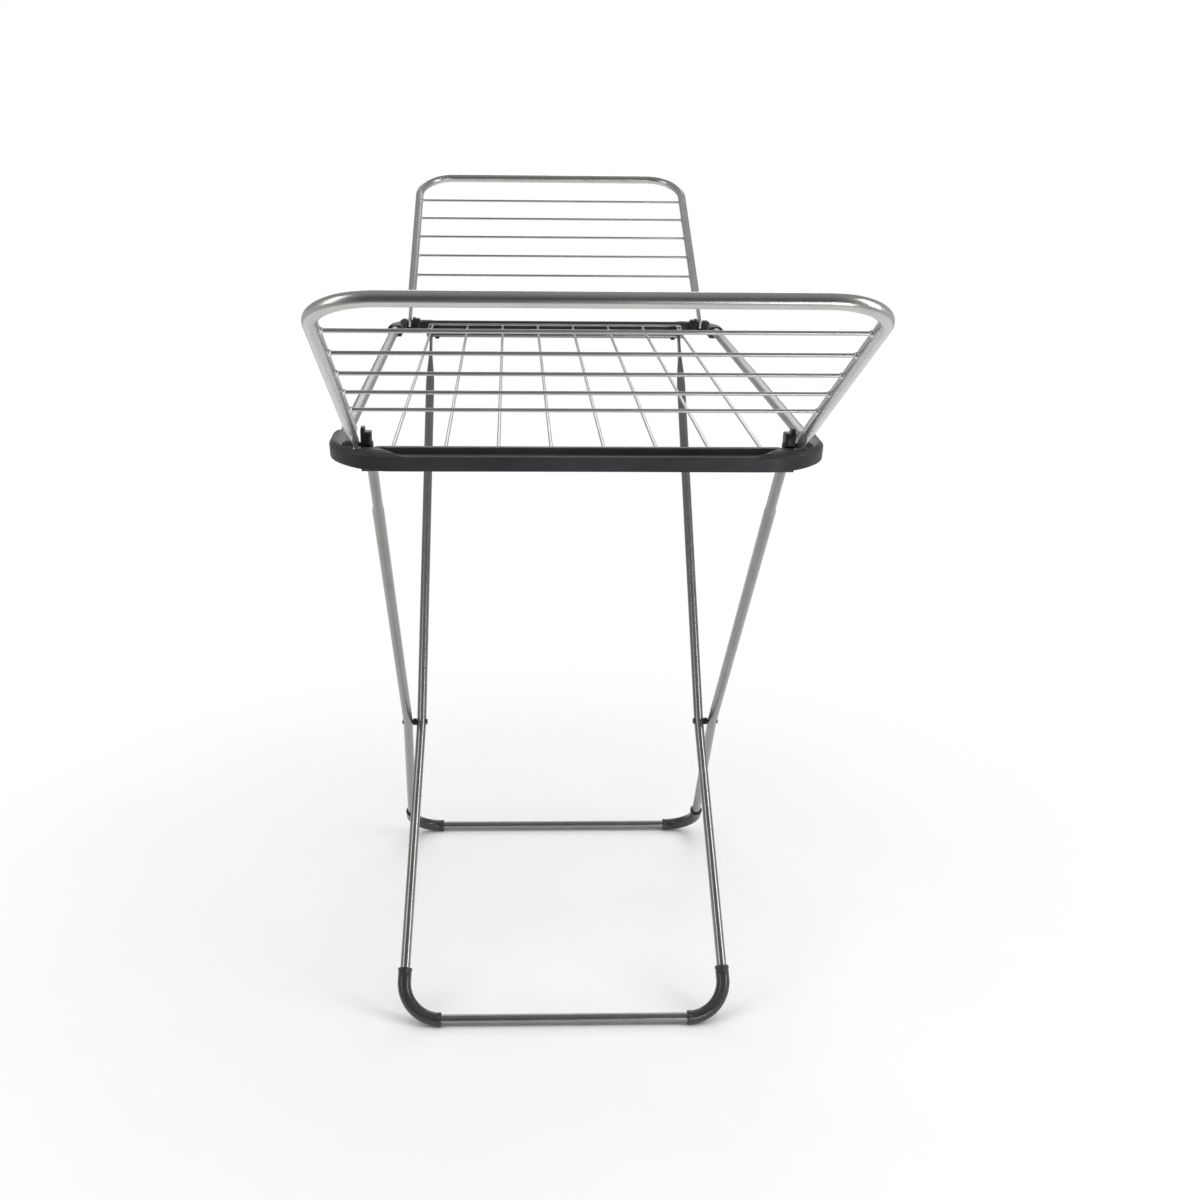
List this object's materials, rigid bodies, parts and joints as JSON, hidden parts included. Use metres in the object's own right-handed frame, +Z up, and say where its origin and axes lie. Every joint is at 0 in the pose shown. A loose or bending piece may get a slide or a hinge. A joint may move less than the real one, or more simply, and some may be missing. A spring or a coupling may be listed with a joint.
{
  "type": "folding winged clothes airer",
  "caption": "Free-standing folding clothes airer with a wire table, a raised wire wing at each end and crossed tube legs.",
  "frame": {"origin": "on the floor under the middle of the table", "axes": "+X to the right and +Y along the table to the far end, +Z up; the near end is -Y, where the outer leg is hinged"},
  "size_m": [0.562, 1.7618, 1.0898],
  "materials": {
    "frame_tube": "satin metallic silver-grey lacquer on steel tube",
    "leg_tube": "satin metallic mid-grey lacquer on steel tube",
    "drying_wire": "satin metallic grey coating on steel wire",
    "cap_plastic": "fine-grained charcoal moulded plastic",
    "foot_plastic": "smooth charcoal moulded plastic",
    "spacer_plastic": "black moulded plastic",
    "pin_metal": "dark blackened steel"
  },
  "bodies": {
    "table": {"near_end_cap": "cap_plastic", "far_end_cap": "cap_plastic", "side_tube_left": "frame_tube", "side_tube_right": "frame_tube", "table_wire_1": "drying_wire", "table_wire_2": "drying_wire", "table_wire_3": "drying_wire", "table_wire_4": "drying_wire", "table_wire_5": "drying_wire", "table_wire_6": "drying_wire", "table_wire_7": "drying_wire", "table_wire_8": "drying_wire", "table_cross_wire_near": "drying_wire", "table_cross_wire_far": "drying_wire", "wing_pivot_pin_near_left": "pin_metal", "wing_pivot_pin_near_right": "pin_metal", "wing_pivot_pin_far_left": "pin_metal", "wing_pivot_pin_far_right": "pin_metal", "leg_hinge_pin_left": "pin_metal", "leg_hinge_pin_right": "pin_metal"},
    "outer_leg": {"outer_leg_frame": "leg_tube", "crossing_rivet_left": "pin_metal", "crossing_rivet_right": "pin_metal", "crossing_spacer_left": "spacer_plastic", "crossing_spacer_right": "spacer_plastic", "foot_sleeve_far_left": "foot_plastic", "foot_sleeve_far_right": "foot_plastic"},
    "inner_leg": {"inner_leg_frame": "leg_tube", "inner_leg_crossbar": "leg_tube", "foot_sleeve_near_left": "foot_plastic", "foot_sleeve_near_right": "foot_plastic"},
    "near_wing": {"near_wing_frame": "frame_tube", "near_wing_wire_1": "drying_wire", "near_wing_wire_2": "drying_wire", "near_wing_wire_3": "drying_wire", "near_wing_wire_4": "drying_wire", "near_wing_wire_5": "drying_wire"},
    "far_wing": {"far_wing_frame": "frame_tube", "far_wing_wire_1": "drying_wire", "far_wing_wire_2": "drying_wire", "far_wing_wire_3": "drying_wire", "far_wing_wire_4": "drying_wire", "far_wing_wire_5": "drying_wire"}
  },
  "joints": [
    {"name": "outer_leg_fold", "type": "hinge", "parent": "table", "child": "outer_leg", "pos_m": [0, -0.465, 0.8485], "axis": [-1, 0, 0], "range_deg": [0, 40.5]},
    {"name": "inner_leg_scissor", "type": "hinge", "parent": "outer_leg", "child": "inner_leg", "pos_m": [0, 0, 0.335], "axis": [1, 0, 0], "range_deg": [0, 81]},
    {"name": "near_wing_fold", "type": "hinge", "parent": "table", "child": "near_wing", "pos_m": [0, -0.468, 0.8697], "axis": [-1, 0, 0], "range_deg": [0, 151.6]},
    {"name": "far_wing_fold", "type": "hinge", "parent": "table", "child": "far_wing", "pos_m": [0, 0.468, 0.8697], "axis": [1, 0, 0], "range_deg": [0, 151.6]}
  ],
  "couplings": [
    {"joint": "inner_leg_scissor", "follows": "outer_leg_fold", "ratio": 2}
  ]
}
